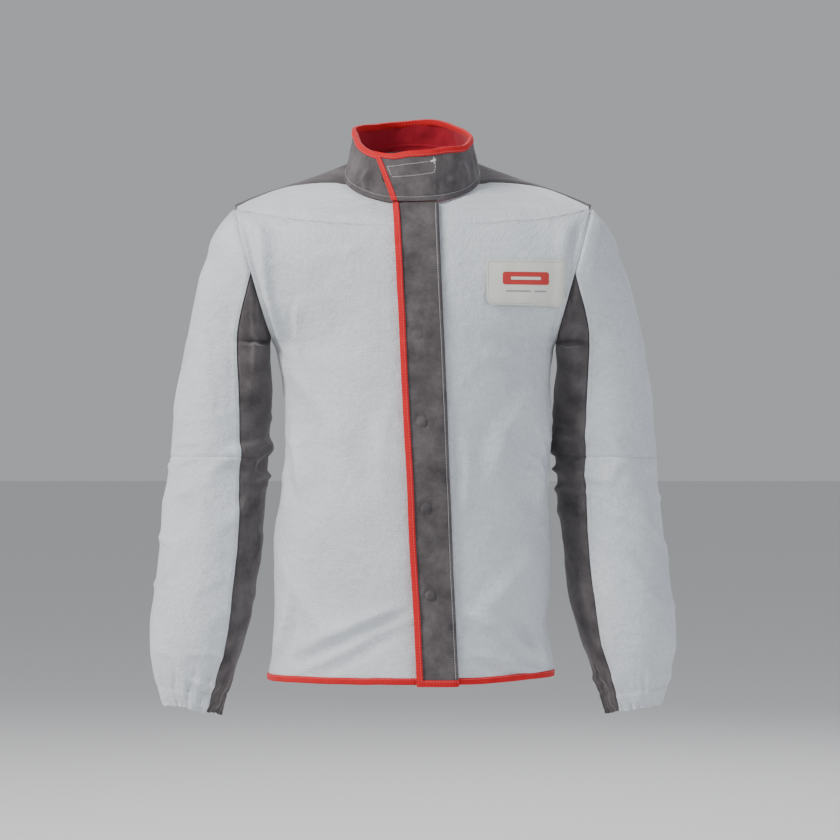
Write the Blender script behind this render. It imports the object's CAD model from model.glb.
"""Looks of the leather welding jacket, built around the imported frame.

The shapes are worked out in millimetres, in the frame's axes, and become metres when a
mesh is made. Panels are grids on the same smooth tubes as the frame's solids, moved along
their normals by folds, creases and gathers.
"""

import math

import bpy
import numpy as np
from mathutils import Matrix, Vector


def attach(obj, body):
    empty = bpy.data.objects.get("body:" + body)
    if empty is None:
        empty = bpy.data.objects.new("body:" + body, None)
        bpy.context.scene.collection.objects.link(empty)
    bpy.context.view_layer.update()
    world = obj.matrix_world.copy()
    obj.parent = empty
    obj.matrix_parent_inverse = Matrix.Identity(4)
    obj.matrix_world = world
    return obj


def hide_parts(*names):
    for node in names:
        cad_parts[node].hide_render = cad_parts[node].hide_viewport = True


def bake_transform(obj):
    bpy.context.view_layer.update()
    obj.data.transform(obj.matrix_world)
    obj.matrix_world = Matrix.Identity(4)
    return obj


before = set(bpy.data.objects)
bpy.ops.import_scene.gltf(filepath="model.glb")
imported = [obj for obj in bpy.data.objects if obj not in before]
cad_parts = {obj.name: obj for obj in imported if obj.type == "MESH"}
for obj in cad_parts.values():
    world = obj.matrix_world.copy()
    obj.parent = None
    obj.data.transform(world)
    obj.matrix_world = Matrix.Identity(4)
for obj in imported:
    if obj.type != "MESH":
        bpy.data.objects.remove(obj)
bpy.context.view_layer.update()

MM = 0.001
LEATHER = 2.2
BINDING_WIDTH = 8.0

HEM_Z = -684.0
NECK_Z = -42.0
YOKE_SEAM_Z = -150.0
ELBOW_Z = -382.0
CASING_Z = -698.0
CUFF_Z = -722.0

# Lines down the front, each as x at the neckline and x at the hem.
FOLD_LINE = (34.0, 60.0)
FREE_EDGE = (-27.0, 5.0)
LEFT_EDGE = (30.0, 56.0)
RIGHT_EDGE = (8.0, 40.0)
LEFT_SWING = (72.0, 168.0)
RIGHT_SWING = (-45.0, -120.0)
PLACKET_LIFT = 2.0
PLACKET_THICK = 4.4

COLLAR_RISE = 56.0
TAB_FOLD = (34.0, 28.0)
TAB_END = (-27.0, -50.0)
ARMHOLE_TOP = (242.0, -43.0)
ARMHOLE_BOTTOM = (190.0, -238.0)
SNAP_HEIGHTS = (-104.0, -218.0, -334.0, -450.0, -566.0)
SNAP_INSET = 24.0

# Rows: tilt in degrees, x, y, z, half width, half depth.
TORSO = [
    (0, 0, 0, HEM_Z, 191, 117),
    (0, 0, 0, -665, 190, 116.5),
    (0, 0, 0, -640, 189, 116),
    (0, 0, 0, -600, 187, 115),
    (0, 0, 0, -510, 189, 114),
    (0, 0, 0, -420, 183, 115),
    (0, 0, 0, -330, 182, 117),
    (0, 0, 0, -238, 188, 118),
    (2, 0, 0, -165, 262, 116),
    (6, 0, 0, -105, 318, 112),
    (12, 0, 0, -62, 285, 107),
    (18, 0, -1, -34, 216, 101),
    (23, 0, -2, -16, 150, 96),
    (27, 0, -3, 0, 93, 92),
]
COLLAR = [
    (27, 0, -3, 0, 93, 92),
    (27, 0, -3, 22, 87.5, 87),
    (27, 0, -3, COLLAR_RISE, 77, 78),
]
SLEEVE = [
    (0, 302, 22, CUFF_Z, 36, 34),
    (0, 301, 22, -694, 46, 44),
    (0, 296, 24, -645, 63, 60),
    (0, 286, 28, -577, 70, 67),
    (0, 274, 36, -480, 70, 70),
    (0, 264, 42, ELBOW_Z, 68, 72),
    (0, 259, 42, -304, 66, 74),
    (0, 253, 36, -238, 60, 75),
    (0, 234, 20, -151, 62, 77),
    (0, 219, 8, -102, 60, 70),
    (0, 222, 2, -68, 42, 48),
    (0, 236, 0, -46, 10, 20),
]
# x and z of the seam between a sleeve's light top and its dark underside.
UNDER_SEAM = [
    (206, -100),
    (222, -150),
    (238, -225),
    (236, -300),
    (234, ELBOW_Z),
    (237, -480),
    (247, -577),
    (256, -640),
    (276, -700),
    (286, -740),
]


# ---- Smooth reading of tables -------------------------------------------------------
def slopes(x, y):
    """Slopes at the knots that never overshoot the data."""
    h = np.diff(x)
    d = np.diff(y, axis=0) / h[:, None]
    m = np.zeros_like(y)
    m[0], m[-1] = d[0], d[-1]
    a, b = d[:-1], d[1:]
    same = a * b > 0
    m[1:-1] = np.where(same, 2 * a * b / np.where(same, a + b, 1), 0)
    return m


class Table:
    """Columns of numbers read smoothly between their knots."""

    def __init__(self, x, y):
        self.x = np.asarray(x, float)
        self.y = np.asarray(y, float).reshape(len(self.x), -1)
        self.m = slopes(self.x, self.y)

    def __call__(self, t):
        t = np.clip(np.asarray(t, float), self.x[0], self.x[-1])
        i = np.clip(np.searchsorted(self.x, t, side="right") - 1, 0, len(self.x) - 2)
        h = self.x[i + 1] - self.x[i]
        s = (t - self.x[i]) / h
        s, h = s[..., None], h[..., None]
        rise = self.y[i + 1] - self.y[i]
        m0, m1 = self.m[i] * h, self.m[i + 1] * h
        return self.y[i] + m0 * s + (3 * rise - 2 * m0 - m1) * s**2 + (m0 + m1 - 2 * rise) * s**3


def smooth(x, a, b):
    """0 below a, 1 above b, smooth between them. a may be the larger."""
    t = np.clip((x - a) / (b - a), 0, 1)
    return t * t * (3 - 2 * t)


class Tube:
    """A smooth tube through elliptical sections, read at a section number t and an angle."""

    def __init__(self, rows):
        rows = np.asarray(rows, float)
        self.last = len(rows) - 1
        self.table = Table(np.arange(len(rows)), rows)

    def point(self, t, angle):
        t, angle = np.broadcast_arrays(t, angle)
        r = self.table(t)
        tilt = np.radians(r[..., 0])
        deep = r[..., 5] * np.sin(angle)
        x = r[..., 1] + r[..., 4] * np.cos(angle)
        y = r[..., 2] + deep * np.cos(tilt)
        z = r[..., 3] + deep * np.sin(tilt)
        return np.stack([x, y, z], -1)

    def t_at(self, z, angle):
        """The section number where the surface at that angle has height z."""
        z, angle = np.broadcast_arrays(np.asarray(z, float), angle)
        a = np.full(z.shape, 0.0)
        b = np.full(z.shape, float(self.last))
        for _ in range(40):
            m = (a + b) / 2
            up = self.point(m, angle)[..., 2] < z
            a, b = np.where(up, m, a), np.where(up, b, m)
        return (a + b) / 2


torso = Tube(TORSO)
collar = Tube(COLLAR)
sleeve = Tube(SLEEVE)
seam_x = Table([p[1] for p in reversed(UNDER_SEAM)], [p[0] for p in reversed(UNDER_SEAM)])


# How the worn collar's top edge differs from its tube: at each angle, in degrees from the
# wearer's left towards the back, how far it moves along x and along z.
COLLAR_SLUMP = [
    (-180, 0, 0),
    (-150, 2, -2),
    (-115, 0, 1),
    (-92, 0, 7),
    (-60, 2, 8),
    (-36, 8, 4),
    (-10, 4, 1),
    (18, 1, -5),
    (42, 0, -10),
    (68, 1, -9),
    (100, 0, -12),
    (130, -3, -9),
    (155, -8, -3),
    (180, 0, 0),
]
collar_slump = Table([r[0] for r in COLLAR_SLUMP], [r[1:] for r in COLLAR_SLUMP])


def slumped(p, k):
    """A collar grid as it is when worn. k is the height of each row, from 0 to 1."""
    angle = np.degrees(np.arctan2(p[..., 1] + 3, p[..., 0]))
    move = collar_slump(angle) * (k[:, None, None] ** 1.6)
    p = p.copy()
    p[..., 0] += move[..., 0]
    p[..., 2] += move[..., 1]
    return p


def line_x(line, z):
    return line[0] + (line[1] - line[0]) * (NECK_Z - z) / (NECK_Z - HEM_Z)


def collar_x(line, z):
    return line[0] + (line[1] - line[0]) * (z - NECK_Z) / (21.0 - NECK_Z)


def armhole_x(z):
    """x of the armhole at height z."""
    slope = (ARMHOLE_TOP[0] - ARMHOLE_BOTTOM[0]) / (ARMHOLE_TOP[1] - ARMHOLE_BOTTOM[1])
    return ARMHOLE_BOTTOM[0] + slope * (z - ARMHOLE_BOTTOM[1])


# ---- Noise --------------------------------------------------------------------------
LATTICE = np.random.default_rng(7).standard_normal((64, 64, 64))


def noise(p, size, seed=0):
    """Smooth noise of about unit strength at points p. size is one wavelength, or three."""
    q = p / np.asarray(size, float) + seed * 17.31 + 1000.0
    i = np.floor(q).astype(int)
    f = q - i
    f = f * f * (3 - 2 * f)
    total = 0.0
    for dx in (0, 1):
        for dy in (0, 1):
            for dz in (0, 1):
                w = np.where(dx, f[..., 0], 1 - f[..., 0])
                w = w * np.where(dy, f[..., 1], 1 - f[..., 1])
                w = w * np.where(dz, f[..., 2], 1 - f[..., 2])
                v = LATTICE[(i[..., 0] + dx) % 64, (i[..., 1] + dy) % 64, (i[..., 2] + dz) % 64]
                total = total + w * v
    return total


def ridges(p, size, seed=0):
    """Noise with narrow crests, like creased leather: 0 in the hollows to 1 on a crest."""
    return np.exp(-((noise(p, size, seed) / 0.42) ** 2))


# ---- Folds --------------------------------------------------------------------------
def fold_height(u, v, path, width, height, hollow=0.5):
    """A fold's height at flat coordinates u and v. It runs along path, and is steeper below."""
    path = np.asarray(path, float)
    lengths = np.linalg.norm(np.diff(path, axis=0), axis=1)
    along = np.concatenate([[0], np.cumsum(lengths)])
    best = np.full(u.shape, 1e9)
    side = np.zeros(u.shape)
    share = np.zeros(u.shape)
    for k in range(len(path) - 1):
        a, d = path[k], path[k + 1] - path[k]
        n = d @ d
        s = np.clip(((u - a[0]) * d[0] + (v - a[1]) * d[1]) / n, 0, 1)
        ex, ey = u - a[0] - s * d[0], v - a[1] - s * d[1]
        r = np.hypot(ex, ey)
        near = r < best
        cross = (d[0] * ey - d[1] * ex) / math.sqrt(n)
        best = np.where(near, r, best)
        side = np.where(near, np.sign(cross) * r, side)
        share = np.where(near, (along[k] + s * lengths[k]) / along[-1], share)
    taper = smooth(share, -0.02, 0.3) * smooth(share, 1.02, 0.7)
    w = width * (0.6 + 0.4 * taper)
    crest = np.exp(-np.abs(side / w) ** 1.5)
    valley = np.exp(-(((side + 1.5 * w) / w) ** 2))
    return height * taper * (crest - hollow * valley)


# Each fold of the front: its path in x and z, its width and height.
FRONT_FOLDS = [
    ([(-176, -652), (-120, -625), (-60, -598), (-2, -574)], 12, 7.5),
    ([(-165, -676), (-100, -646), (-50, -618), (2, -596)], 9, 5.0),
    ([(-196, -672), (-184, -640), (-172, -606), (-166, -556)], 8, 6.5),
    ([(-186, -505), (-160, -560), (-130, -600), (-90, -640)], 14, 4.0),
    ([(60, -580), (110, -608), (150, -638), (186, -668)], 12, 9.0),
    ([(70, -642), (110, -652), (150, -668), (186, -678)], 8, 4.0),
    ([(188, -560), (178, -600), (173, -640), (180, -674)], 9, 6.0),
    ([(182, -470), (150, -530), (110, -575), (70, -600)], 15, 3.6),
    ([(-154, -165), (-157, -205), (-152, -252)], 6, 3.0),
    ([(-180, -330), (-163, -385), (-150, -445)], 10, 6.5),
    ([(-184, -250), (-150, -290), (-110, -335), (-80, -400)], 14, 3.6),
    ([(186, -250), (152, -300), (120, -350), (100, -420)], 14, 3.6),
    ([(180, -320), (166, -390), (172, -460)], 11, 4.6),
    ([(-60, -95), (-90, -110), (-140, -115)], 10, 2.0),
    ([(86, -240), (110, -250), (150, -240)], 10, 2.4),
    ([(64, -340), (74, -400), (68, -470)], 11, 2.2),
    ([(-30, -300), (-42, -380), (-36, -450)], 13, 2.2),
    ([(144, -395), (150, -400), (158, -398)], 4, 1.6),
    ([(62, -281), (66, -284), (70, -283)], 3, 1.2),
]
BACK_FOLDS = [
    ([(-150, -240), (-90, -300), (-60, -390)], 16, 3.5),
    ([(150, -240), (96, -310), (70, -400)], 16, 3.5),
    ([(-170, -480), (-100, -540), (-30, -575)], 14, 3.5),
    ([(175, -500), (110, -560), (40, -590)], 14, 3.5),
    ([(-120, -620), (-40, -640), (50, -645)], 11, 3.0),
    ([(-20, -180), (-14, -240), (-24, -300)], 13, 1.6),
    ([(90, -640), (130, -655), (170, -650)], 9, 2.6),
]


def torso_relief(p):
    """How far the leather of the torso lies off its smooth tube, at points p."""
    x, y, z = p[..., 0], p[..., 1], p[..., 2]
    total = 2.3 * noise(p, (95, 95, 130), 1) + 0.95 * noise(p, (38, 38, 46), 2)
    total = total + 0.32 * noise(p, (15, 15, 17), 3)
    front = smooth(y, -5, -45)
    back = smooth(y, 5, 45)
    for path, width, height in FRONT_FOLDS:
        total = total + front * fold_height(x, z, path, width, height)
    for path, width, height in BACK_FOLDS:
        total = total + back * fold_height(x, z, path, width, height)
    low = smooth(z, -520, -660)
    total = total + low * 1.6 * noise(p, (46, 46, 120), 4)
    crease = smooth(np.abs(x), 120, 185) * smooth(z, -215, -330) * smooth(z, -560, -440)
    total = total + 1.8 * (crease + 0.3 * low) * (ridges(p, (60, 60, 30), 5) - 0.4)
    crumple = smooth(x, 140, 182) * np.exp(-(((z + 385) / 60) ** 2))
    total = total + 3.0 * crumple * (ridges(np.stack([x, y, z + x], -1), (26, 26, 24), 6) - 0.4)
    calm = smooth(z, -14, -70) * 0.75 + 0.25
    return total * calm


def sleeve_relief(p, side):
    """How far a sleeve's leather lies off its smooth tube. p is on the wearer's left sleeve."""
    x, y, z = p[..., 0], p[..., 1], p[..., 2]
    seed = 20 if side > 0 else 40
    centre = sleeve.table(sleeve.t_at(z, np.zeros(z.shape)))
    angle = np.arctan2(y - centre[..., 2], x - centre[..., 1])
    total = 1.7 * noise(p, (70, 70, 110), seed) + 0.7 * noise(p, (30, 30, 36), seed + 1)
    total = total + 0.25 * noise(p, (13, 13, 15), seed + 2)
    inner = 0.3 + 0.7 * smooth(np.cos(angle), 0.35, -0.7)
    elbow = np.exp(-(((z + 385) / 48) ** 2))
    crush = ridges(np.stack([x, y, z + 0.25 * x], -1), (52, 60, 24), seed + 3) - 0.33
    total = total + 8.0 * elbow * inner * crush
    fore = smooth(z, -400, -450) * smooth(z, -640, -560)
    bent = np.stack([x, y, z + 0.5 * x], -1)
    total = total + 2.6 * fore * (ridges(bent, (75, 75, 46), seed + 4) - 0.3)
    upper = smooth(z, -350, -300) * smooth(z, -70, -130)
    total = total + 3.0 * upper * (ridges(p, (40, 60, 240), seed + 5) - 0.3)
    wrist = smooth(z, -600, -690)
    total = total + 3.0 * wrist * (ridges(p, (50, 60, 30), seed + 6) - 0.35)
    phase = 2.4 * noise(p, (60, 60, 70), seed + 7)
    pleats = np.abs(np.sin(angle * 8 + phase)) ** 0.7
    small = np.sin(angle * 31 + 2.5 * noise(p, (40, 40, 50), seed + 8))
    gather = smooth(z, -655, -697) * (0.75 + 0.35 * noise(p, (30, 30, 200), seed + 9))
    total = total + gather * (5.4 * pleats - 1.6 + 0.7 * small)
    band = smooth(z, CASING_Z + 2, CASING_Z - 4)
    frill = 1.5 * np.sin(angle * 22 + 3 * noise(p, (30, 30, 60), seed + 10))
    total = total * (1 - 0.45 * band) + band * (1.8 + frill * smooth(z, -708, CUFF_Z))
    groove = np.exp(-(((z - CASING_Z - 1) / 1.8) ** 2)) + 0.6 * np.exp(-(((z - CUFF_Z - 5) / 1.6) ** 2))
    total = total - 1.1 * groove
    total = np.where(z < -690, np.maximum(total, -0.9), total)
    cap = smooth(z, -150, -60)
    return total * (1 - 0.75 * cap)


# ---- Mesh making --------------------------------------------------------------------
def grid_normals(p):
    """Unit normals of a grid of points; rows go up and columns go against the clock."""
    dr = np.gradient(p, axis=0)
    dc = np.gradient(p, axis=1)
    n = np.cross(dc, dr)
    size = np.linalg.norm(n, axis=-1, keepdims=True)
    return n / np.maximum(size, 1e-9)


# Edges that turn by more degrees than this are shaded as sharp.
SHARP_EDGE = 55.0


class Piece:
    """Collects the meshes of one visible piece."""

    def __init__(self, name):
        self.name = name
        self.points, self.faces, self.slots, self.uvs, self.mats = [], [], [], [], []
        self.count = 0

    def slot(self, mat):
        if mat not in self.mats:
            self.mats.append(mat)
        return self.mats.index(mat)

    def add(self, points, faces, mat, uv):
        self.points.append(np.asarray(points, float).reshape(-1, 3))
        self.uvs.append(np.asarray(uv, float).reshape(-1, 2))
        for f in faces:
            self.faces.append(tuple(int(i) + self.count for i in f))
        self.slots.extend([self.slot(mat)] * len(faces))
        self.count += len(self.points[-1])

    def shell(self, outer, inner, mat, mat_in=None):
        """A closed sheet between two grids of points."""
        rows, cols = outer.shape[:2]
        u = np.concatenate([[0], np.cumsum(np.linalg.norm(np.diff(outer[rows // 2], axis=0), axis=1))])
        # Rows that jump where a panel narrows count as far apart as their nearer ends.
        step = np.linalg.norm(np.diff(outer[:, [0, cols // 2, -1]], axis=0), axis=-1).min(axis=1)
        v = np.concatenate([[0], np.cumsum(step)])
        uv = np.stack(np.broadcast_arrays(u[None, :], v[:, None]), -1) * MM
        index = np.arange(rows * cols).reshape(rows, cols)
        a, b, c, d = index[:-1, :-1], index[:-1, 1:], index[1:, 1:], index[1:, :-1]
        front = np.stack([a, b, c, d], -1).reshape(-1, 4)
        size = rows * cols
        back = front[:, ::-1] + size
        edge = np.concatenate([index[0, :], index[1:, -1], index[-1, -2::-1], index[-2:0:-1, 0]])
        following = np.roll(edge, -1)
        rim = np.stack([edge, edge + size, following + size, following], -1)
        base = self.count
        self.points += [outer.reshape(-1, 3), inner.reshape(-1, 3)]
        self.uvs += [uv.reshape(-1, 2), uv.reshape(-1, 2)]
        for block, m in ((front, mat), (back, mat_in or mat), (rim, mat)):
            self.faces.extend(map(tuple, (block + base).tolist()))
            self.slots.extend([self.slot(m)] * len(block))
        self.count += 2 * size

    def sweep(self, path, side, normal, profile, mat):
        """A closed profile in side and normal directions, carried along an open path."""
        path, side, normal = (np.asarray(a, float) for a in (path, side, normal))
        k = len(profile)
        n = len(path)
        profile = np.asarray(profile, float)
        points = path[:, None] + side[:, None] * profile[None, :, :1]
        points = points + normal[:, None] * profile[None, :, 1:]
        length = np.concatenate([[0], np.cumsum(np.linalg.norm(np.diff(path, axis=0), axis=1))])
        around = np.arange(k) / k * 0.02
        uv = np.stack(np.broadcast_arrays(length[:, None] * MM, around[None, :]), -1)
        faces = []
        for i in range(n - 1):
            for q in range(k):
                r = (q + 1) % k
                faces.append((i * k + q, (i + 1) * k + q, (i + 1) * k + r, i * k + r))
        faces.append(tuple(range(k)))
        faces.append(tuple((n - 1) * k + q for q in reversed(range(k))))
        self.add(points, faces, mat, uv)

    def stitches(self, path, normal, mat, pitch=3.6, length=2.6, width=0.95, lift=0.15):
        """A row of thread stitches along a path on the leather."""
        path, normal = np.asarray(path, float), np.asarray(normal, float)
        step = np.linalg.norm(np.diff(path, axis=0), axis=1)
        along = np.concatenate([[0], np.cumsum(step)])
        count = int(along[-1] / pitch)
        middles = (np.arange(count) + 0.5) * pitch

        def at(s):
            return np.stack([np.interp(s, along, path[:, k]) for k in range(3)], -1)

        def up(s):
            n = np.stack([np.interp(s, along, normal[:, k]) for k in range(3)], -1)
            return n / np.linalg.norm(n, axis=-1, keepdims=True)

        rings = ((-0.5, 0.25), (-0.42, 0.75), (0.0, 1.0), (0.42, 0.75), (0.5, 0.25))
        sides = 6
        faces = []
        for i in range(len(rings) - 1):
            for q in range(sides):
                r = (q + 1) % sides
                faces.append((i * sides + q, i * sides + r, (i + 1) * sides + r, (i + 1) * sides + q))
        faces.append(tuple(reversed(range(sides))))
        faces.append(tuple((len(rings) - 1) * sides + q for q in range(sides)))
        turn = np.arange(sides) * 2 * math.pi / sides
        for s in middles:
            n = up(np.array([s]))[0]
            tangent = at(np.array([s + 0.5]))[0] - at(np.array([s - 0.5]))[0]
            tangent /= max(np.linalg.norm(tangent), 1e-9)
            cross = np.cross(n, tangent)
            cross /= max(np.linalg.norm(cross), 1e-9)
            points = []
            for x, r in rings:
                middle = at(np.array([s + x * length]))[0] + n * (lift - 1.2 * abs(x) ** 3 * width)
                ring = middle + np.outer(np.cos(turn) * r * width / 2, cross)
                ring = ring + np.outer(np.sin(turn) * r * width / 2, n)
                points.append(ring)
            uv = np.zeros((len(rings) * sides, 2)) + s * MM
            self.add(np.concatenate(points), faces, mat, uv)

    def finish(self, mirror=False):
        """Makes the object. mirror puts it on the wearer's right."""
        points = np.concatenate(self.points) * MM
        faces = self.faces
        if mirror:
            points = points * np.array([-1, 1, 1])
            faces = [f[::-1] for f in faces]
        mesh = bpy.data.meshes.new(self.name)
        mesh.from_pydata(points.tolist(), [], faces)
        for m in self.mats:
            mesh.materials.append(m)
        mesh.polygons.foreach_set("material_index", self.slots)
        layer = mesh.uv_layers.new(name="UVMap")
        corner = np.empty(len(mesh.loops), int)
        mesh.loops.foreach_get("vertex_index", corner)
        layer.data.foreach_set("uv", np.concatenate(self.uvs)[corner].ravel())
        mesh.polygons.foreach_set("use_smooth", [True] * len(mesh.polygons))
        mesh.set_sharp_from_angle(angle=math.radians(SHARP_EDGE))
        mesh.update()
        obj = bpy.data.objects.new(self.name, mesh)
        bpy.context.scene.collection.objects.link(obj)
        return obj


def binding_profile(width, thick):
    """A tape folded over an edge: the leather lies between 0 and -thick, and side 0 is its edge."""
    return [
        (width, 0.0),
        (width, 0.7),
        (width - 0.7, 1.05),
        (width * 0.5, 1.2),
        (1.0, 1.1),
        (-0.6, 0.6),
        (-1.1, -thick / 2),
        (-0.6, -thick - 0.6),
        (1.0, -thick - 1.1),
        (width * 0.5, -thick - 1.2),
        (width - 0.7, -thick - 1.05),
        (width, -thick - 0.7),
        (width, -thick),
    ]


# ---- Materials ----------------------------------------------------------------------
class Nodes:
    """A short way to write a material's nodes."""

    def __init__(self, name):
        self.mat = bpy.data.materials.new(name)
        self.mat.use_nodes = True
        self.tree = self.mat.node_tree
        self.shader = self.tree.nodes["Principled BSDF"]
        self.uv = self.tree.nodes.new("ShaderNodeTexCoord").outputs["UV"]

    def new(self, kind, inputs=None, **values):
        node = self.tree.nodes.new(kind)
        for key, value in values.items():
            setattr(node, key, value)
        for key, value in (inputs or {}).items():
            if isinstance(value, bpy.types.NodeSocket):
                self.tree.links.new(value, node.inputs[key])
            else:
                node.inputs[key].default_value = value
        return node

    def noise(self, scale, detail=3.0, roughness=0.55, stretch=(1, 1, 1), offset=0.0):
        mapping = self.new("ShaderNodeMapping", {"Vector": self.uv, "Scale": stretch})
        mapping.inputs["Location"].default_value = (offset, offset * 0.7, offset)
        inputs = {"Vector": mapping.outputs[0], "Scale": scale, "Detail": detail, "Roughness": roughness}
        return self.new("ShaderNodeTexNoise", inputs).outputs[0]

    def cells(self, scale):
        return self.new("ShaderNodeTexVoronoi", {"Vector": self.uv, "Scale": scale}).outputs["Distance"]

    def ramp(self, value, stops):
        node = self.new("ShaderNodeValToRGB", {"Fac": value})
        elements = node.color_ramp.elements
        while len(elements) < len(stops):
            elements.new(0.5)
        for element, (at, colour) in zip(elements, stops):
            element.position = at
            element.color = (*colour, 1)
        return node.outputs["Color"]

    def mix(self, share, a, b, blend="MIX"):
        node = self.new("ShaderNodeMix", data_type="RGBA", blend_type=blend)
        for socket, value in ((node.inputs[0], share), (node.inputs[6], a), (node.inputs[7], b)):
            if isinstance(value, bpy.types.NodeSocket):
                self.tree.links.new(value, socket)
            elif isinstance(value, tuple):
                socket.default_value = (*value, 1)
            else:
                socket.default_value = value
        return node.outputs[2]

    def maths(self, operation, a, b=0.5):
        node = self.new("ShaderNodeMath", operation=operation)
        for socket, value in ((node.inputs[0], a), (node.inputs[1], b)):
            if isinstance(value, bpy.types.NodeSocket):
                self.tree.links.new(value, socket)
            else:
                socket.default_value = value
        return node.outputs[0]

    def bump(self, heights):
        """heights: pairs of a height socket and its depth in metres."""
        normal = None
        for height, depth in heights:
            inputs = {"Height": height, "Distance": depth, "Strength": 1.0}
            if normal is not None:
                inputs["Normal"] = normal
            normal = self.new("ShaderNodeBump", inputs).outputs[0]
        self.tree.links.new(normal, self.shader.inputs["Normal"])

    def link(self, name, socket):
        self.tree.links.new(socket, self.shader.inputs[name])

    def set(self, **values):
        for name, value in values.items():
            self.shader.inputs[name.replace("_", " ")].default_value = value


def light_leather():
    n = Nodes("light_leather")
    broad = n.noise(9, 4, 0.6)
    fine = n.noise(420, 3, 0.6, offset=3)
    base = n.ramp(broad, [(0.3, (0.58, 0.615, 0.655)), (0.7, (0.70, 0.73, 0.765))])
    scuff = n.noise(60, 6, 0.7, offset=8)
    base = n.mix(n.ramp(scuff, [(0.55, (0, 0, 0)), (0.75, (0.35, 0.35, 0.35))]), base, (0.52, 0.54, 0.565))
    base = n.mix(n.maths("MULTIPLY", fine, 0.16), base, (0.45, 0.47, 0.50))
    mottle = n.ramp(n.noise(150, 4, 0.65, offset=11), [(0.36, (0, 0, 0)), (0.64, (0.5, 0.5, 0.5))])
    base = n.mix(mottle, base, (0.49, 0.52, 0.56))
    n.link("Base Color", base)
    n.link("Roughness", n.maths("ADD", n.maths("MULTIPLY", broad, 0.25), 0.5))
    n.set(Sheen_Weight=0.15, Sheen_Roughness=0.5, Specular_IOR_Level=0.35)
    n.bump([(n.cells(520), 0.0005), (fine, 0.0006), (n.noise(95, 4, 0.6, offset=5), 0.0016)])
    return n.mat


def dark_suede():
    n = Nodes("dark_suede")
    nap = n.noise(300, 4, 0.7, offset=2)
    patch = n.noise(26, 5, 0.65, offset=6)
    base = n.ramp(patch, [(0.34, (0.060, 0.053, 0.056)), (0.70, (0.165, 0.148, 0.152))])
    base = n.mix(n.maths("MULTIPLY", nap, 0.5), base, (0.045, 0.040, 0.042))
    n.link("Base Color", base)
    n.set(Roughness=0.95, Sheen_Weight=0.35, Sheen_Roughness=0.45, Specular_IOR_Level=0.2)
    n.shader.inputs["Sheen Tint"].default_value = (0.75, 0.72, 0.75, 1)
    n.bump([(nap, 0.0005), (n.noise(90, 4, 0.65, offset=4), 0.0009)])
    return n.mat


def flesh_side():
    n = Nodes("flesh_side")
    nap = n.noise(160, 5, 0.7, offset=1)
    base = n.ramp(nap, [(0.3, (0.34, 0.31, 0.28)), (0.7, (0.47, 0.44, 0.40))])
    n.link("Base Color", base)
    n.set(Roughness=0.97, Sheen_Weight=0.3, Specular_IOR_Level=0.2)
    n.bump([(nap, 0.0008)])
    return n.mat


def cloth(name, dark, light, rib, depth, sheen=0.3, rough=0.85):
    """Woven cloth or tape. rib is the number of threads in a metre."""
    n = Nodes(name)
    threads = {"Vector": n.uv, "Scale": rib / 20.0, "Distortion": 0.4}
    wave = n.new("ShaderNodeTexWave", threads, bands_direction="X")
    weft = n.new("ShaderNodeTexWave", threads, bands_direction="Y")
    weave = n.maths("MULTIPLY", wave.outputs["Fac"], weft.outputs["Fac"])
    worn = n.noise(45, 5, 0.6, offset=2)
    base = n.mix(worn, dark, light)
    base = n.mix(n.maths("MULTIPLY", wave.outputs["Fac"], 0.3), base, tuple(c * 0.6 for c in dark))
    n.link("Base Color", base)
    n.set(Roughness=rough, Sheen_Weight=sheen, Sheen_Roughness=0.5, Specular_IOR_Level=0.3)
    n.bump([(weave, depth), (worn, 0.0004)])
    return n.mat


def thread(name, colour):
    n = Nodes(name)
    twist = n.noise(2600, 1, 0.5)
    n.link("Base Color", n.mix(n.maths("MULTIPLY", twist, 0.4), colour, tuple(c * 0.55 for c in colour)))
    n.set(Roughness=0.55, Specular_IOR_Level=0.4)
    return n.mat


def metal():
    n = Nodes("snap_metal")
    scratch = n.noise(900, 3, 0.6)
    n.link("Base Color", n.mix(scratch, (0.42, 0.42, 0.43), (0.6, 0.6, 0.61)))
    n.link("Roughness", n.maths("ADD", n.maths("MULTIPLY", scratch, 0.2), 0.25))
    n.set(Metallic=1.0)
    return n.mat


LIGHT = light_leather()
SUEDE = dark_suede()
FLESH = flesh_side()
RED = cloth("red_binding", (0.50, 0.003, 0.008), (0.66, 0.010, 0.016), 1500, 0.0003, 0.1)
LINING = cloth("red_lining", (0.30, 0.001, 0.014), (0.42, 0.003, 0.022), 3600, 0.0001, 0.15)
BLACK_TAPE = cloth("hook_and_loop", (0.02, 0.02, 0.022), (0.05, 0.05, 0.052), 1500, 0.0008)
ELASTIC = cloth("elastic_webbing", (0.06, 0.06, 0.06), (0.13, 0.13, 0.13), 1100, 0.0006)
LABEL = cloth("label_cloth", (0.66, 0.67, 0.59), (0.76, 0.77, 0.70), 5200, 0.00005, 0.3, 0.45)
LABEL_GREY = cloth("label_print_grey", (0.30, 0.31, 0.33), (0.36, 0.37, 0.39), 1800, 0.0002, 0.1, 0.6)
LABEL_RED = cloth("label_print_red", (0.50, 0.03, 0.03), (0.60, 0.05, 0.05), 1800, 0.0002, 0.1, 0.6)
PALE_THREAD = thread("pale_thread", (0.62, 0.62, 0.61))
GREY_THREAD = thread("grey_thread", (0.42, 0.42, 0.43))
RED_THREAD = thread("red_thread", (0.82, 0.10, 0.11))
WHITE_THREAD = thread("white_thread", (0.85, 0.85, 0.84))
METAL = metal()


def place(obj, slot, replaced, body, other=None, start=None, end=None):
    """Rides or blends a finished piece, and says what it stands for."""
    if other is None:
        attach(obj, body)
    else:
        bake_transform(obj)
    if replaced:
        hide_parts(*replaced)


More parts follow.
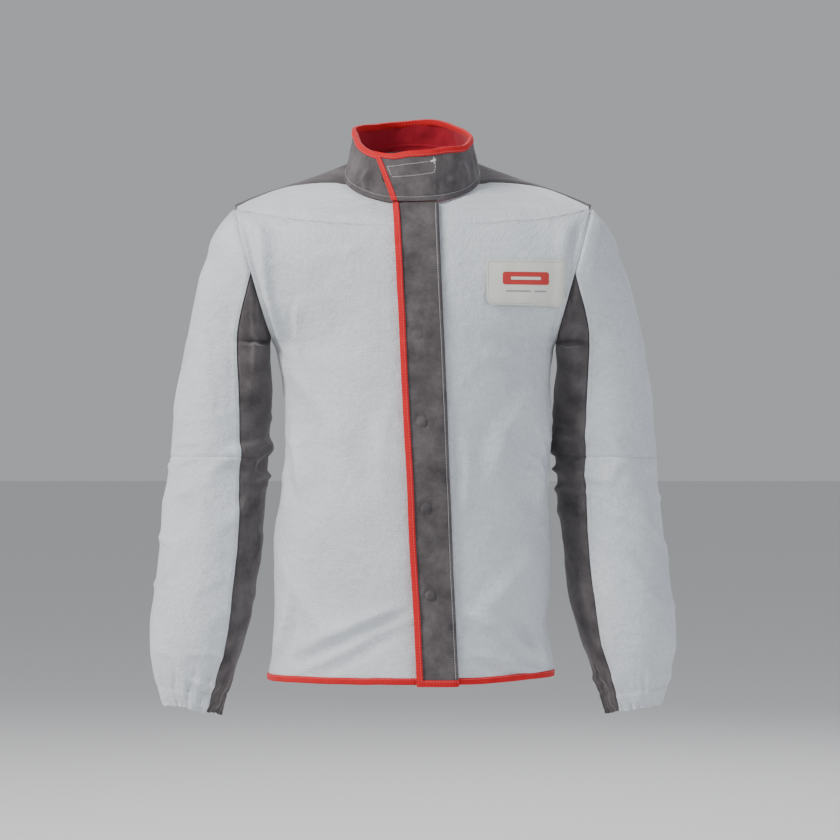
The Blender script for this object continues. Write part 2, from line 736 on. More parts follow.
# Half the width of the bend between the jacket and a front, and where it is measured.
SWING_HALF_BAND = 26.0
SWING_MIDDLE_Z = -330.0


def swing_blend(sign):
    """Start and end of the bend between the jacket and one front."""
    line = LEFT_SWING if sign > 0 else RIGHT_SWING
    x = line_x(line, SWING_MIDDLE_Z)
    direction = np.array([line[1] - line[0], 0.0, HEM_Z - NECK_Z])
    direction /= np.linalg.norm(direction)
    across = np.array([-direction[2], 0.0, direction[0]]) * sign
    middle = np.array([x, -110.0, SWING_MIDDLE_Z])
    return middle + across * SWING_HALF_BAND, middle - across * SWING_HALF_BAND


# ---- Torso panels -------------------------------------------------------------------
def border_y(x, z):
    """y of the side and shoulder seams. The shoulder seam runs back from the neck, then forward."""
    out = np.abs(x)
    shoulder = -25 + 55 * np.clip((out - 88) / 88, 0, 1) - 28 * smooth(out, 182, 238)
    side = -25 + 47 * np.clip((out - 90) / 160, 0, 1)
    return side + (shoulder - side) * smooth(z, -110, -72)


def angle_of_x(tube, t, x, sign_y=-1):
    """The section angle where a tube has that x, in front (-1) or behind (+1)."""
    return sign_y * np.arccos(np.clip(x / tube.table(t)[..., 4], -1, 1))


def front_angle_of_line(t, line):
    """The angle of a front line at each section number."""
    z = torso.table(t)[..., 3]
    for _ in range(12):
        angle = angle_of_x(torso, t, line_x(line, z))
        z = torso.point(t, angle)[..., 2]
    return angle


def armhole_angle(t, sign_y):
    """The angle where the torso meets the left armhole, or one far past it on rows it doesn't cut."""
    z = torso.table(t)[..., 3]
    for _ in range(20):
        cos = armhole_x(z) / torso.table(t)[..., 4]
        angle = sign_y * np.arccos(np.clip(cos, -1, 1))
        z = torso.point(t, angle)[..., 2]
    uncut = (cos > 1) | (torso.table(t)[..., 3] < ARMHOLE_BOTTOM[1])
    return np.where(uncut, -sign_y * 9.0, angle)


def border_angle(t):
    """The angle of the left side and shoulder seam."""
    low, high = np.full(np.shape(t), -1.5), np.full(np.shape(t), 0.6)
    for _ in range(40):
        m = (low + high) / 2
        q = torso.point(t, m)
        before = q[..., 1] < border_y(q[..., 0], q[..., 2])
        low, high = np.where(before, m, low), np.where(before, high, m)
    return (low + high) / 2


def even_rows(count):
    """Section numbers spaced evenly along the front of the torso."""
    t = np.linspace(0, torso.last, 900)
    q = torso.point(t, np.full(t.shape, -1.1))
    length = np.concatenate([[0], np.cumsum(np.linalg.norm(np.diff(q, axis=0), axis=1))])
    return np.interp(np.linspace(0, length[-1], count), length, t)


def sheet_grid(t, a0, a1, cols):
    """A grid of the torso between two angles at each row, evenly spaced."""
    s = np.linspace(0, 1, cols)[None, :]
    return torso.point(t[:, None], a0[:, None] + (a1 - a0)[:, None] * s)


def mirrored(p):
    return (p * np.array([-1, 1, 1]))[:, ::-1]


def settle(p):
    """The jacket's slack: the waist leans to the wearer's left and the hem lifts there."""
    x, z = p[..., 0], p[..., 2]
    lean = np.exp(-(((z + 345) / 95) ** 2)) * smooth(np.abs(x), 70, 180)
    corner = smooth(x, 70, 185) * smooth(z, -600, -684)
    notch = np.exp(-(((z + 608) / 38) ** 2)) * smooth(x, 90, 185)
    flare = smooth(z, -645, -684) * smooth(-x, 110, 185)
    moved = p.copy()
    moved[..., 0] = x + 8.5 * lean - 7.0 * notch - 5.0 * flare
    moved[..., 2] = z + 5.0 * corner
    return moved


def along_columns(p):
    """Each point's distance from the first and from the last column, along its row."""
    step = np.linalg.norm(np.diff(p, axis=1), axis=-1)
    first = np.concatenate([np.zeros((len(p), 1)), np.cumsum(step, axis=1)], axis=1)
    return first, first[:, -1:] - first


def seam_dip(distance, depth=1.2, width=2.4):
    """Leather turned in at a seam: a groove at its edge and a low swelling beside it."""
    roll = 0.35 * depth * np.exp(-(((distance - 3.2 * width) / (1.6 * width)) ** 2))
    return roll - depth * np.exp(-((distance / width) ** 2))


def armhole_calm(p):
    """0 at the armhole, where two panels must meet, and 1 away from it."""
    gap = np.abs(np.abs(p[..., 0]) - armhole_x(p[..., 2])) * 0.966
    return np.maximum(smooth(gap, 1, 20), smooth(p[..., 2], ARMHOLE_BOTTOM[1], ARMHOLE_BOTTOM[1] - 40))


def chest_roll(p):
    """The front bulges beside the armhole, with a hollow between it and the sleeve."""
    inwards = (armhole_x(p[..., 2]) - np.abs(p[..., 0])) * 0.966
    top = smooth(p[..., 2], -58, -84)
    here = top * smooth(p[..., 2], -262, -215) * smooth(p[..., 1], -10, -40)
    spread = 11 + 9 * smooth(p[..., 2], -170, -70)
    hollow = np.exp(-(((inwards - 0.5 * spread) / (0.34 * spread)) ** 2))
    roll = np.exp(-(((inwards - 1.35 * spread) / (0.55 * spread)) ** 2))
    # The wearer's left is held flatter by the label.
    held = smooth(p[..., 0], 0, 40)
    rise = 6.6 - held * (3.0 + 1.4 * smooth(p[..., 2], -95, -125))
    return here * (rise * roll - (5.4 - 2.6 * held) * hollow) * smooth(inwards, 0, 3)


def torso_lift(base):
    return torso_relief(base) * armhole_calm(base) + chest_roll(base)


def dressed(base, t):
    """A torso grid's points and normals after folds, slack and seams. t is each row's."""
    n = grid_normals(base)
    first, last = along_columns(base)
    d = torso_lift(base) + seam_dip(first) + seam_dip(last)
    d = d - 1.7 * smooth(t, torso.last - 0.22, torso.last - 0.06)[:, None]
    p = settle(base + n * d[..., None])
    return p, grid_normals(p)


PANEL_ROWS = even_rows(236)


def build_front(sign):
    """One front, from its edge under the placket to the side seam, shoulder and armhole."""
    side = "left" if sign > 0 else "right"
    t = PANEL_ROWS
    line = LEFT_EDGE if sign > 0 else tuple(-x for x in RIGHT_EDGE)
    border = border_angle(t)
    arm = armhole_angle(t, -1)
    grid = sheet_grid(t, front_angle_of_line(t, line), np.minimum(arm, border), 116)
    if sign < 0:
        grid = mirrored(grid)
    p, n = dressed(grid, t)
    start, end = swing_blend(sign)
    blend = ("jacket_body", f"front_{side}", start, end)

    piece = Piece(f"front_{side}_panel")
    piece.shell(p, p - n * LEATHER, LIGHT, FLESH)
    column = -4 if sign > 0 else 3
    z = p[:, column, 2]
    rows = np.where((z > ARMHOLE_BOTTOM[1] + 4) & (z < -62))[0]
    piece.stitches(p[rows, column], n[rows, column], PALE_THREAD, width=0.8)
    place(piece.finish(), "light_leather", [f"front_{side}_side", f"front_{side}_leaf"], *blend)

    hem = Piece(f"front_{side}_hem_binding")
    bind_edge(hem, p[0], np.tile([0.0, 0.0, 1.0], (p.shape[1], 1)), n[0], LEATHER)
    place(hem.finish(), "red_binding", [f"hem_binding_{side}"], *blend)


def bind_edge(piece, path, side, normal, thick):
    """Binds an edge with red tape, and stitches it down."""
    wobble = 0.5 * noise(path, (22, 22, 22), 71)
    path = path + side * wobble[:, None] * 0.35
    piece.sweep(path, side, normal, binding_profile(BINDING_WIDTH, thick), RED)
    piece.stitches(path + side * (BINDING_WIDTH - 2.0) + normal * 1.2, normal, RED_THREAD, lift=0.1)


def build_back():
    t = PANEL_ROWS
    side = np.maximum(armhole_angle(t, 1), border_angle(t))
    grid = sheet_grid(t, side, math.pi - side, 200)
    p, n = dressed(grid, t)
    middle = p.shape[1] // 2
    seam_row = int(np.argmin(np.abs(p[:, middle, 2] - YOKE_SEAM_Z)))
    panel = Piece("back_panel_leather")
    low = slice(0, seam_row + 3)
    panel.shell(p[low], p[low] - n[low] * LEATHER, LIGHT, FLESH)
    place(panel.finish(), "light_leather", ["back_panel"], "jacket_body")

    yoke = Piece("back_yoke_leather")
    high = slice(seam_row - 2, None)
    lift = 1.2
    top, up = p[high], n[high]
    yoke.shell(top + up * lift, top + up * (lift - LEATHER), SUEDE, FLESH)
    for row in (0, 2):
        yoke.stitches(top[row] + up[row] * lift, up[row], GREY_THREAD)
    place(yoke.finish(), "dark_suede", ["back_yoke"], "jacket_body")

    hem = Piece("back_hem_binding")
    bind_edge(hem, p[0], np.tile([0.0, 0.0, 1.0], (p.shape[1], 1)), n[0], LEATHER)
    place(hem.finish(), "red_binding", ["hem_binding_back"], "jacket_body")


for sign in (1, -1):
    build_front(sign)
build_back()


# ---- Sleeves ------------------------------------------------------------------------
def torso_y_at_armhole(z, sign_y):
    """y of the torso's skin where the left armhole cuts it at height z."""
    x = armhole_x(z)
    low, high = np.full(z.shape, 7.0), np.full(z.shape, float(torso.last))
    for _ in range(40):
        m = (low + high) / 2
        q = torso.point(m, angle_of_x(torso, m, x, sign_y))
        below = q[..., 2] < z
        low, high = np.where(below, m, low), np.where(below, high, m)
    return torso.point(low, angle_of_x(torso, low, x, sign_y))[..., 1]


def sleeve_y_at_armhole(z, sign_y):
    r = sleeve.table(sleeve.t_at(z, np.zeros(z.shape)))
    cos = np.clip((armhole_x(z) - r[..., 1]) / r[..., 4], -1, 1)
    return r[..., 2] + sign_y * r[..., 5] * np.sqrt(1 - cos * cos)


head_z = np.linspace(ARMHOLE_BOTTOM[1], -46.0, 60)
head_shift = Table(
    head_z,
    np.stack(
        [torso_y_at_armhole(head_z, s) - sleeve_y_at_armhole(head_z, s) for s in (-1, 1)],
        axis=-1,
    ),
)


def sleeve_points(z, angle, side):
    """Points and normals of a dressed sleeve, at heights z and section angles."""
    tip = np.clip((z + 46.0) / 3.0, 0, 1)
    t = sleeve.t_at(np.minimum(z, -46.01), np.zeros(z.shape))
    r = sleeve.table(t)
    shrink = np.sqrt(1 - tip * tip)
    x = r[..., 1] + r[..., 4] * shrink * np.cos(angle)
    y = r[..., 2] + r[..., 5] * shrink * np.sin(angle)
    gap = x - np.where(z > ARMHOLE_BOTTOM[1], armhole_x(z), ARMHOLE_BOTTOM[0])
    near = 1 - smooth(gap, 0, 58)
    shift = head_shift(np.clip(z, head_z[0], head_z[-1]))
    behind = smooth(np.sin(angle), -0.6, 0.6)
    move = shift[..., 0] * (1 - behind) + shift[..., 1] * behind
    y = y + move * near * smooth(z, -330, ARMHOLE_BOTTOM[1])
    base = np.stack([x, y, z], -1)
    n = grid_normals(base)
    head = smooth(z, -275, ARMHOLE_BOTTOM[1])
    calm = 1 - head * (1 - smooth(gap, 1, 20))
    d = sleeve_relief(base, side) * calm
    tuck = head * (1 - smooth(gap, -1.5, 6.0))
    d = d - 2.6 * tuck
    p = base + n * d[..., None]
    wrist = smooth(z, -640, CUFF_Z)
    ragged = smooth(z, -704, CUFF_Z) * noise(base, (13, 13, 60), 120 + side)
    p[..., 2] += wrist * (6.5 * np.cos(angle) - 2.5) + 1.5 * ragged
    return p, n


def sleeve_limits(z):
    """The angles at which a row leaves the light panel, and at which it meets the armhole."""
    r = sleeve.table(sleeve.t_at(np.minimum(z, -46.01), np.zeros(z.shape)))
    tip = np.clip((z + 46.0) / 3.0, 0, 1)
    half = r[..., 4] * np.sqrt(1 - tip * tip)
    seam = np.arccos(np.clip((seam_x(z)[..., 0] - r[..., 1]) / half, -1, 1))
    cut = np.where(z > ARMHOLE_BOTTOM[1] - 2, armhole_x(z) - 5.0, 0.0)
    arm = np.arccos(np.clip((cut - r[..., 1]) / half, -1, 1))
    return seam, arm, half


def rows_between(low, high, pitch):
    return np.linspace(low, high, int(round((high - low) / pitch)) + 1)


def build_sleeve(side):
    sign = 1 if side == "left" else -1
    mirror = sign < 0
    shoulder = ("jacket_body", f"upper_sleeve_{side}", (sign * 190, 0, -238), (sign * 247, 0, -262))
    elbow = (f"upper_sleeve_{side}", f"forearm_{side}", (sign * 264, 0, ELBOW_Z - 4), (sign * 264, 0, -500))
    parts = [
        ("upper", rows_between(ELBOW_Z, -43.05, 2.9), shoulder),
        ("forearm", rows_between(CUFF_Z, ELBOW_Z + 4.0, 2.4), elbow),
    ]
    for part, z, blend in parts:
        seam, arm, half = sleeve_limits(z)
        replaced = [f"{part}_sleeve_top_{side}"]
        if part == "forearm":
            # The casing is the gathered end of the forearm's leather.
            replaced.append(f"cuff_casing_{side}")
        # The light panel laps over the dark one.
        edge = np.minimum(seam, arm)
        share = np.linspace(-1, 1, 104)[None, :]
        angle = edge[:, None] * share
        height = np.broadcast_to(z[:, None], angle.shape)
        p, n = sleeve_points(height, angle, sign)
        reach = (1 - np.abs(share)) * edge[:, None] * 68
        lap = 0.9 * smooth(reach, 14, 4) - 0.8 * smooth(reach, 2.5, 0)
        lap = lap * (seam < arm - 0.05)[:, None]
        if part == "forearm":
            lap = lap - 2.2 * smooth(height, ELBOW_Z - 2.5, ELBOW_Z + 1.5)
        else:
            lap = lap - 1.1 * smooth(height, ELBOW_Z + 3.0, ELBOW_Z)
        p = p + n * lap[..., None]
        n = grid_normals(p)
        piece = Piece(f"{part}_sleeve_top_{side}_leather")
        piece.shell(p, p - n * LEATHER, LIGHT, FLESH)
        rows = np.where(seam < arm - 0.03)[0]
        if part == "forearm":
            rows = rows[z[rows] < ELBOW_Z - 4]
            line = int(np.argmin(np.abs(z - (CASING_Z + 1))))
            piece.stitches(p[line], n[line], PALE_THREAD, pitch=3.2, length=2.2, width=0.85)
        for column in (2, -3):
            piece.stitches(p[rows, column], n[rows, column], PALE_THREAD, width=0.7, length=2.2)
        place(piece.finish(mirror), "light_leather", replaced, *blend)

        under = Piece(f"{part}_sleeve_under_{side}_leather")
        rows = np.where(seam < arm - 0.02)[0]
        for back in (False, True):
            hidden = 4.5 / half[rows]
            share = np.linspace(0, 1, 50)[None, :]
            low, high = seam[rows] - hidden, arm[rows]
            angle = low[:, None] + (high - low)[:, None] * share
            if not back:
                angle = -angle[:, ::-1]
            height = np.broadcast_to(z[rows][:, None], angle.shape)
            p, n = sleeve_points(height, angle, sign)
            past = (np.abs(angle) - seam[rows][:, None]) * half[rows][:, None]
            d = -2.4 * smooth(past, 4.0, -1.0)
            middle = (math.pi - np.abs(angle)) * half[rows][:, None]
            d = d - 0.9 * np.exp(-((middle / 2.5) ** 2))
            if part == "forearm":
                d = d - 2.2 * smooth(height, ELBOW_Z - 2.5, ELBOW_Z + 1.5)
            else:
                d = d - 1.1 * smooth(height, ELBOW_Z + 3.0, ELBOW_Z)
            p = p + n * d[..., None]
            n = grid_normals(p)
            under.shell(p, p - n * LEATHER, SUEDE, FLESH)
        place(under.finish(mirror), "dark_suede", [f"{part}_sleeve_under_{side}"], *blend)


for name in ("left", "right"):
    build_sleeve(name)


# ---- Placket ------------------------------------------------------------------------
def on_front(x, z):
    """Points of the bare torso front at x and z."""
    x, z = np.broadcast_arrays(np.asarray(x, float), np.asarray(z, float))
    angle = np.full(x.shape, -math.pi / 2)
    t = torso.t_at(z, angle)
    for _ in range(8):
        angle = angle_of_x(torso, t, x)
        t = torso.t_at(z, angle)
    return torso.point(t, angle)


def snap_marks(p):
    """The press studs show through the placket as low round swellings."""
    total = np.zeros(p.shape[:-1])
    for k, z in enumerate(SNAP_HEIGHTS[1:]):
        x = line_x(FREE_EDGE, z) + SNAP_INSET
        r = np.hypot(p[..., 0] - x, p[..., 2] - z)
        strength = (0.45, 0.8, 0.8, 1.1)[k]
        swell = 1.5 * smooth(r, 7.4, 4.6) - 1.1 * np.exp(-(((r - 7.8) / 1.5) ** 2))
        total = total + strength * swell
    return total


def build_placket():
    rows, cols = 300, 64
    z = np.linspace(HEM_Z - 2.5, -44.0, rows)[:, None]
    share = np.linspace(0, 1, cols)[None, :]
    left, right = line_x(FREE_EDGE, z) + 0.8, line_x(FOLD_LINE, z)
    sway = 1.0 * noise(np.stack([z * 0, z * 0, z], -1), (90, 90, 90), 63)
    left = left + sway * 0.8
    base = on_front(left + (right - left) * share, np.maximum(z, HEM_Z))
    # The foot goes on straight down past the hem.
    base[..., 2] = np.minimum(base[..., 2], z)
    n = grid_normals(base)
    d = torso_relief(base) * 0.85 + PLACKET_LIFT + PLACKET_THICK
    slack = noise(base, (44, 44, 60), 61)
    d = d + 1.0 * slack * smooth(share, 1.0, 0.6)
    d = d + 0.35 * noise(base, (14, 14, 18), 62)
    low_wave = smooth(z, -560, -650) * np.sin((z + 30 * share) / 17.0)
    d = d + 0.9 * low_wave * smooth(share, 1.0, 0.3)
    d = d + 0.8 * np.sin(math.pi * share) ** 0.5
    d = d - 3.0 * smooth(share, 0.95, 1.0)
    d = d - 0.8 * np.exp(-(((share - 0.925) / 0.016) ** 2))
    d = d + snap_marks(base)
    p = settle(base + n * d[..., None])
    n = grid_normals(p)
    piece = Piece("placket_leather")
    piece.shell(p, p - n * (PLACKET_THICK - 0.4), SUEDE, SUEDE)
    column = int(0.925 * (cols - 1))
    piece.stitches(p[4:, column], n[4:, column], PALE_THREAD, pitch=3.3, length=2.4, width=0.85)
    place(piece.finish(), "dark_suede", ["placket_outer", "placket_facing"], "placket")

    edge = Piece("placket_edge_binding")
    side = np.gradient(p, axis=1)[:, 0]
    side /= np.linalg.norm(side, axis=-1, keepdims=True)
    # One tape goes down the free edge and along the foot, mitred at the corner.
    path = np.concatenate([p[::-1, 0], p[0, 1:-1]])
    normal = np.concatenate([n[::-1, 0], n[0, 1:-1]])
    side = np.concatenate([side[::-1], np.tile([0.0, 0.0, 1.0], (cols - 2, 1))])
    side[rows - 1] = side[rows - 2] + side[rows]
    offset = np.arange(len(path)) - (rows - 1)
    keep = (offset <= -5) | (offset == 0) | (offset >= 10)
    bind_edge(edge, (path + normal * 0.4)[keep], side[keep], normal[keep], PLACKET_THICK - 0.6)
    place(edge.finish(), "red_binding", ["placket_binding"], "placket")


build_placket()


# ---- Collar -------------------------------------------------------------------------
COLLAR_BOUND = LEATHER + 1.2
TAB_LIFT = 2.0
TAB_THICK = 3.4


# Creases of the collar's front, each as for the torso.
COLLAR_FOLDS = [
    ([(-58, 8), (-66, -8), (-60, -26)], 4.5, 4.2),
    ([(-76, 20), (-72, 4), (-78, -12)], 4.5, 3.2),
    ([(-88, 14), (-86, -2), (-80, -16)], 4.0, 2.6),
    ([(60, 18), (70, 4), (72, -12)], 5.0, 3.6),
    ([(44, -6), (58, -16), (66, -26)], 5.0, 2.4),
    ([(84, 22), (86, 8), (80, -6)], 4.0, 2.6),
]


def collar_relief(p):
    total = 1.3 * noise(p, (48, 48, 60), 80) + 0.6 * noise(p, (20, 20, 26), 81)
    return total + 0.25 * noise(p, (9, 9, 10), 82)


def collar_grid(left, right, rows, cols, low=0.0):
    """A grid of the collar between two angles, or two functions of the front's height."""
    k = np.linspace(low, 1.0, rows)
    t = np.interp(k * COLLAR_RISE, [0, 22, COLLAR_RISE], [0, 1, 2])
    front_z = collar.point(t, np.full(t.shape, -math.pi / 2))[:, 2]

    def angle(limit):
        if callable(limit):
            return angle_of_x(collar, t, limit(front_z))
        return np.full(t.shape, limit)

    a0, a1 = angle(left), angle(right)
    share = np.linspace(0, 1, cols)[None, :]
    return collar.point(t[:, None], a0[:, None] + (a1 - a0)[:, None] * share), k


def collar_foot(k):
    """The turned and stitched foot of the collar, at each row's share of the height."""
    return (0.9 * smooth(k, 0.10, 0.0) - 0.7 * np.exp(-(((k - 0.13) / 0.02) ** 2)))[:, None]


def build_collar_half(sign):
    side = "left" if sign > 0 else "right"
    if sign > 0:
        grid, k = collar_grid(lambda z: 29.5 + 0 * z, math.pi / 2, 44, 120)
    else:
        grid, k = collar_grid(lambda z: 14.5 + 0 * z, math.pi / 2, 44, 130)
        grid = mirrored(grid)
    grid = slumped(grid, k)
    n = grid_normals(grid)
    x = grid[..., 0]
    front = smooth(grid[..., 1], -20, -60)
    rise = (TAB_LIFT + TAB_THICK) * smooth(x, 92, 38) * front
    if sign < 0:
        rise = -0.9 * smooth(x, -92, -50) * front
    hollow = 1.3 * np.sin(math.pi * k)[:, None] * smooth(np.abs(x), 88, 36) * front
    calm = 1 - 0.6 * smooth(x, -60, -46) * front * (sign < 0)
    d = collar_relief(grid) * calm + rise - hollow
    for path, width, height in COLLAR_FOLDS:
        d = d + front * fold_height(x, grid[..., 2], path, width, height)
    p = grid + n * (d + collar_foot(k))[..., None]
    # The back of the collar sags a little to its left, as worn leather does.
    sag = smooth(p[..., 1], -10, 60) * smooth(k, 0.3, 1.0)[:, None]
    p[..., 2] += sag * 1.0 * np.sin(p[..., 0] / 26.0)
    n = grid_normals(p)
    blend = ("jacket_body", f"front_{side}", (sign * 70, 0, -20), (sign * 31, 0, -20))

    outer = Piece(f"collar_outer_{side}_leather")
    top = slice(0, -1)
    outer.shell(p[top], (p - n * LEATHER)[top], SUEDE, SUEDE)
    line = int(0.13 * len(k))
    outer.stitches(p[line], n[line], GREY_THREAD, width=0.8)
    replaced = [f"collar_end_outer_{side}"] + (["collar_outer"] if sign > 0 else [])
    place(outer.finish(), "dark_suede", replaced, *blend)

    inner = Piece(f"collar_lining_{side}_cloth")
    ripple = 1.5 * smooth(noise(p, (38, 38, 60), 90), -1.2, 1.6)
    skin = p - n * (LEATHER + 0.1)
    inner.shell(skin[top], (skin - n * (1.1 + ripple)[..., None])[top], LINING, LINING)
    replaced = [f"collar_end_lining_{side}"] + (["collar_lining"] if sign > 0 else [])
    place(inner.finish(), "red_lining", replaced, *blend)

    bound = Piece(f"collar_top_binding_{side}")
    down = p[-4] - p[-1]
    down /= np.linalg.norm(down, axis=-1, keepdims=True)
    bind_edge(bound, p[-1], down, n[-1], COLLAR_BOUND)
    replaced = [f"collar_end_binding_{side}"] + (["collar_binding"] if sign > 0 else [])
    place(bound.finish(), "red_binding", replaced, *blend)


for sign in (1, -1):
    build_collar_half(sign)


def build_tab():
    rows, cols = 44, 76
    low = 1.5 / COLLAR_RISE
    grid, k = collar_grid(
        lambda z: collar_x(TAB_END, z) + 0.8,
        lambda z: collar_x(TAB_FOLD, z) + 1.0,
        rows,
        cols,
        low,
    )
    grid = slumped(grid, k)
    n = grid_normals(grid)
    share = np.linspace(0, 1, cols)[None, :]
    d = TAB_LIFT + TAB_THICK + collar_relief(grid) * smooth(share, 0, 0.2) + collar_foot(k)
    d = d - 1.3 * np.sin(math.pi * k)[:, None] * smooth(share, 0.3, 0.9)
    d = d + 1.4 * smooth(share, 0.25, 0.0) * smooth(k, 0.2, 0.9)[:, None]
    p = grid + n * d[..., None]
    n = grid_normals(p)
    piece = Piece("collar_tab_leather")
    piece.shell(p, p - n * LEATHER, SUEDE, SUEDE)
    # Two rows of stitches hold the hook tape behind the tab, and a bar closes them.
    corners = [(0.17, 0.52), (0.92, 0.58), (0.96, 0.66), (0.96, 0.80), (0.15, 0.74), (0.17, 0.52)]

    def at(u, v):
        c, r = u * (cols - 1), v * (rows - 1)
        c0, r0 = min(int(c), cols - 2), min(int(r), rows - 2)
        fc, fr = c - c0, r - r0
        weights = ((r0, c0, (1 - fr) * (1 - fc)), (r0, c0 + 1, (1 - fr) * fc))
        weights += ((r0 + 1, c0, fr * (1 - fc)), (r0 + 1, c0 + 1, fr * fc))
        spot = sum(w * p[i, j] for i, j, w in weights)
        up = sum(w * n[i, j] for i, j, w in weights)
        return spot, up

    def sew(line, mat, **sizes):
        piece.stitches([q for q, _ in line], [q for _, q in line], mat, **sizes)

    for (u0, v0), (u1, v1) in zip(corners[:-1], corners[1:]):
        line = [at(u0 + (u1 - u0) * s, v0 + (v1 - v0) * s) for s in np.linspace(0, 1, 24)]
        sew(line, PALE_THREAD, pitch=3.0, length=2.2, width=0.8)
    bar = np.linspace(-1, 1, 8)
    bars = [[at(0.94 + 0.05 * s, 0.80 + offset + 0.01 * s) for s in bar] for offset in (-0.012, 0.0, 0.012)]
    bars.append([at(0.945, 0.80 + 0.06 * s) for s in bar])
    for line in bars:
        sew(line, WHITE_THREAD, pitch=1.5, length=2.2, width=0.9)
    row = int(0.10 * rows)
    piece.stitches(p[row, 8:], n[row, 8:], GREY_THREAD, width=0.8)
    place(piece.finish(), "dark_suede", ["collar_tab_outer"], "collar_tab")

    inner = Piece("collar_tab_lining_cloth")
    skin = p - n * (LEATHER + 0.05)
    inner.shell(skin[:-1, 1:], (skin - n * 1.1)[:-1, 1:], LINING, LINING)
    place(inner.finish(), "red_lining", ["collar_tab_lining"], "collar_tab")

    edge = Piece("collar_tab_binding_tape")
    top, end = p[-1, ::-1], p[::-1, 0]
    path = np.concatenate([top, end[1:]])
    normal = np.concatenate([n[-1, ::-1], n[::-1, 0][1:]])
    down = p[-4, ::-1] - p[-1, ::-1]
    across = (p[:, 3] - p[:, 0])[::-1]
    down /= np.linalg.norm(down, axis=-1, keepdims=True)
    across /= np.linalg.norm(across, axis=-1, keepdims=True)
    side = np.concatenate([down, across[1:]])
    corner = len(top) - 1
    side[corner] = down[-1] + across[0]
    # Points beside the corner would fold over each other inside the mitre.
    keep = np.ones(len(path), bool)
    spacing = np.abs(np.arange(len(path)) - corner)
    keep[(spacing > 0) & (spacing < 7)] = False
    bind_edge(edge, path[keep] + normal[keep] * 0.2, side[keep], normal[keep], COLLAR_BOUND)
    place(edge.finish(), "red_binding", ["collar_tab_binding"], "collar_tab")


build_tab()


# ---- Chest label --------------------------------------------------------------------
LABEL_LEFT, LABEL_RIGHT = 98.0, 203.0
LABEL_TOP, LABEL_BOTTOM = -118.0, -178.0
LABEL_THICK = 1.2
LABEL_CORNER = 9.0


def label_surface(x, z):
    """Points and normals of the label's face at x and z."""
    base = on_front(x, z)
    n = grid_normals(base)
    down = smooth(z, LABEL_TOP - 8, LABEL_BOTTOM)
    d = torso_lift(base) + LABEL_THICK + 0.7
    d = d + 3.6 * down**2 + 0.5 * down * np.sin(x / 13.0)
    p = settle(base + n * d[..., None])
    return p, grid_normals(p)


def rounded(v, x0, x1, low, high, radius, top_radius):
    """The x limits of a rounded rectangle's row at v."""
    def inset(distance, r):
        return r - np.sqrt(np.maximum(r * r - np.maximum(r - distance, 0) ** 2, 0))

    cut = np.maximum(inset(v - low, radius), inset(high - v, top_radius))
    return x0 + cut, x1 - cut


def patch(piece, x0, x1, low, high, radius, mat, lift, rows=14):
    """A printed shape on the label."""
    v = np.linspace(low + 0.05, high - 0.05, rows)[:, None]
    a, b = rounded(v, x0, x1, low, high, radius, radius)
    x = a + (b - a) * np.linspace(0, 1, 30)[None, :]
    p, n = label_surface(x, np.broadcast_to(v, x.shape))
    piece.shell(p + n * lift, p - n * 0.1, mat)


def label_outline(inset):
    """x and z of points round the label, that far inside its edge."""
    left, right = LABEL_LEFT + inset, LABEL_RIGHT - inset
    low, top = LABEL_BOTTOM + inset, LABEL_TOP - inset
    r = LABEL_CORNER - inset

    def straight(a, b, count):
        return np.linspace(a, b, count)

    def corner(x, start):
        angle = np.linspace(start, start + math.pi / 2, 8)
        return np.stack([x + r * np.cos(angle), low + r - r * np.sin(angle)], -1)

    return np.concatenate([
        straight((left, top), (right, top), 50),
        straight((right, top), (right, low + r), 20),
        corner(right - r, 0),
        straight((right - r, low), (left + r, low), 40),
        corner(left + r, math.pi / 2),
        straight((left, low + r), (left, top), 20),
    ])


def build_label():
    rows, cols = 46, 70
    v = np.linspace(LABEL_BOTTOM + 0.05, LABEL_TOP - 0.05, rows)[:, None]
    a, b = rounded(v, LABEL_LEFT, LABEL_RIGHT, LABEL_BOTTOM, LABEL_TOP, LABEL_CORNER, 2.0)
    x = a + (b - a) * np.linspace(0, 1, cols)[None, :]
    p, n = label_surface(x, np.broadcast_to(v, x.shape))
    piece = Piece("chest_label_cloth")
    piece.shell(p, p - n * LABEL_THICK, LABEL)
    outline = label_outline(2.4)
    half = np.array([-0.5, 0.5])
    xs, zs = outline[:, :1], outline[:, 1:]
    ahead = label_surface(xs + half, zs + 0 * half)[0]
    above = label_surface(xs + 0 * half, zs + half)[0]
    normal = np.cross(ahead[:, 1] - ahead[:, 0], above[:, 1] - above[:, 0])
    normal /= np.linalg.norm(normal, axis=-1, keepdims=True)
    spots = label_at(outline)
    piece.stitches(spots, normal, GREY_THREAD, pitch=3.2, length=2.2, width=0.75)
    middle = (LABEL_LEFT + LABEL_RIGHT) / 2
    patch(piece, middle - 31, middle + 31, -151, -134, 3.0, LABEL_RED, 0.25)
    patch(piece, middle - 20, middle + 20, -144.5, -140.5, 1.0, LABEL, 0.4, rows=5)
    patch(piece, middle - 27, middle + 6, -160.5, -158.3, 0.5, LABEL_GREY, 0.2, rows=4)
    patch(piece, middle + 11, middle + 27, -160.5, -158.3, 0.5, LABEL_GREY, 0.2, rows=4)
    place(piece.finish(), "label_cloth", ["chest_label"], "jacket_body")


def label_at(outline):
    """Points of the label's face at rows of x and z."""
    near = []
    for x, z in outline:
        xs = np.array([[x - 0.5, x + 0.5], [x - 0.5, x + 0.5]])
        zs = np.array([[z - 0.5, z - 0.5], [z + 0.5, z + 0.5]])
        near.append(label_surface(xs, zs)[0].mean(axis=(0, 1)))
    return np.array(near)


build_label()


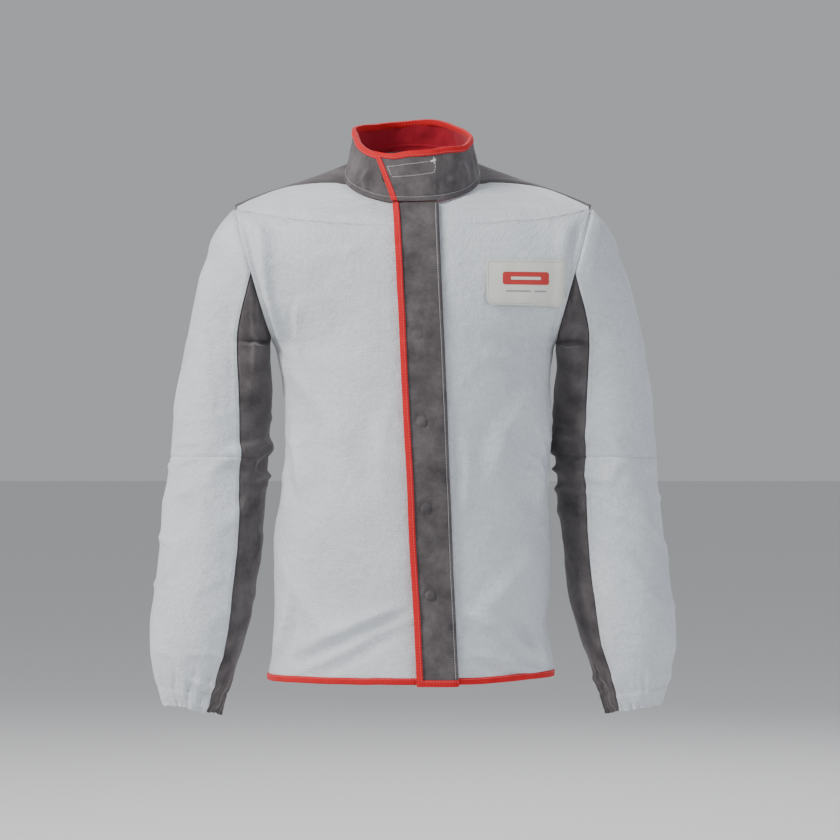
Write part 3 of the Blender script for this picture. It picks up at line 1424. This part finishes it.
# ---- Small CAD parts that stay in view ----------------------------------------------
for node, mat in (
    ("snap_studs", METAL),
    ("snap_sockets", METAL),
    ("hook_patch", BLACK_TAPE),
    ("loop_patch", BLACK_TAPE),
    ("hanger_loop", LINING),
    ("cuff_elastic_left", ELASTIC),
    ("cuff_elastic_right", ELASTIC),
    ("underlap_facing", LINING),
):
    for slot_index in range(len(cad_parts[node].material_slots)):
        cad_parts[node].material_slots[slot_index].material = mat

# ---- Stage --------------------------------------------------------------------------
FLOOR_Z = -1.02


def stage():
    mesh = bpy.data.meshes.new("floor")
    size = 40.0
    corners = [(-size, -size, FLOOR_Z), (size, -size, FLOOR_Z), (size, size, FLOOR_Z), (-size, size, FLOOR_Z)]
    mesh.from_pydata(corners, [], [(0, 1, 2, 3)])
    floor = bpy.data.objects.new("floor", mesh)
    bpy.context.scene.collection.objects.link(floor)
    n = Nodes("floor")
    n.set(Base_Color=(0.80, 0.80, 0.80, 1), Roughness=0.8)
    mesh.materials.append(n.mat)

    world = bpy.data.worlds.new("studio")
    bpy.context.scene.world = world
    world.use_nodes = True
    world.node_tree.nodes["Background"].inputs[0].default_value = (0.93, 0.95, 1.0, 1)
    world.node_tree.nodes["Background"].inputs[1].default_value = 0.42

    def area(name, at, target, size, power, colour=(1, 1, 1)):
        light = bpy.data.lights.new(name, "AREA")
        light.energy = power
        light.size = size
        light.color = colour
        obj = bpy.data.objects.new(name, light)
        obj.location = at
        direction = np.array(target) - np.array(at)
        obj.rotation_euler = Vector(direction).to_track_quat("-Z", "Y").to_euler()
        bpy.context.scene.collection.objects.link(obj)

    area("key", (-2.3, -1.5, 1.9), (0, 0, -0.3), 0.9, 155, (1.0, 0.99, 0.97))
    area("fill", (2.6, -2.2, 0.5), (0, 0, -0.35), 1.8, 34, (0.88, 0.94, 1.0))
    area("back", (0.6, 2.4, 1.6), (0, 0, -0.2), 1.6, 40)


CAMERA_DISTANCE = 5.5


def camera():
    data = bpy.data.cameras.new("camera")
    data.sensor_width = 36.0
    data.lens = 100.8 * CAMERA_DISTANCE / 3.2
    obj = bpy.data.objects.new("camera", data)
    obj.location = (0.0095, -CAMERA_DISTANCE, -0.332)
    obj.rotation_euler = (math.pi / 2, 0, 0)
    bpy.context.scene.collection.objects.link(obj)
    bpy.context.scene.camera = obj


stage()
camera()
bpy.context.view_layer.update()
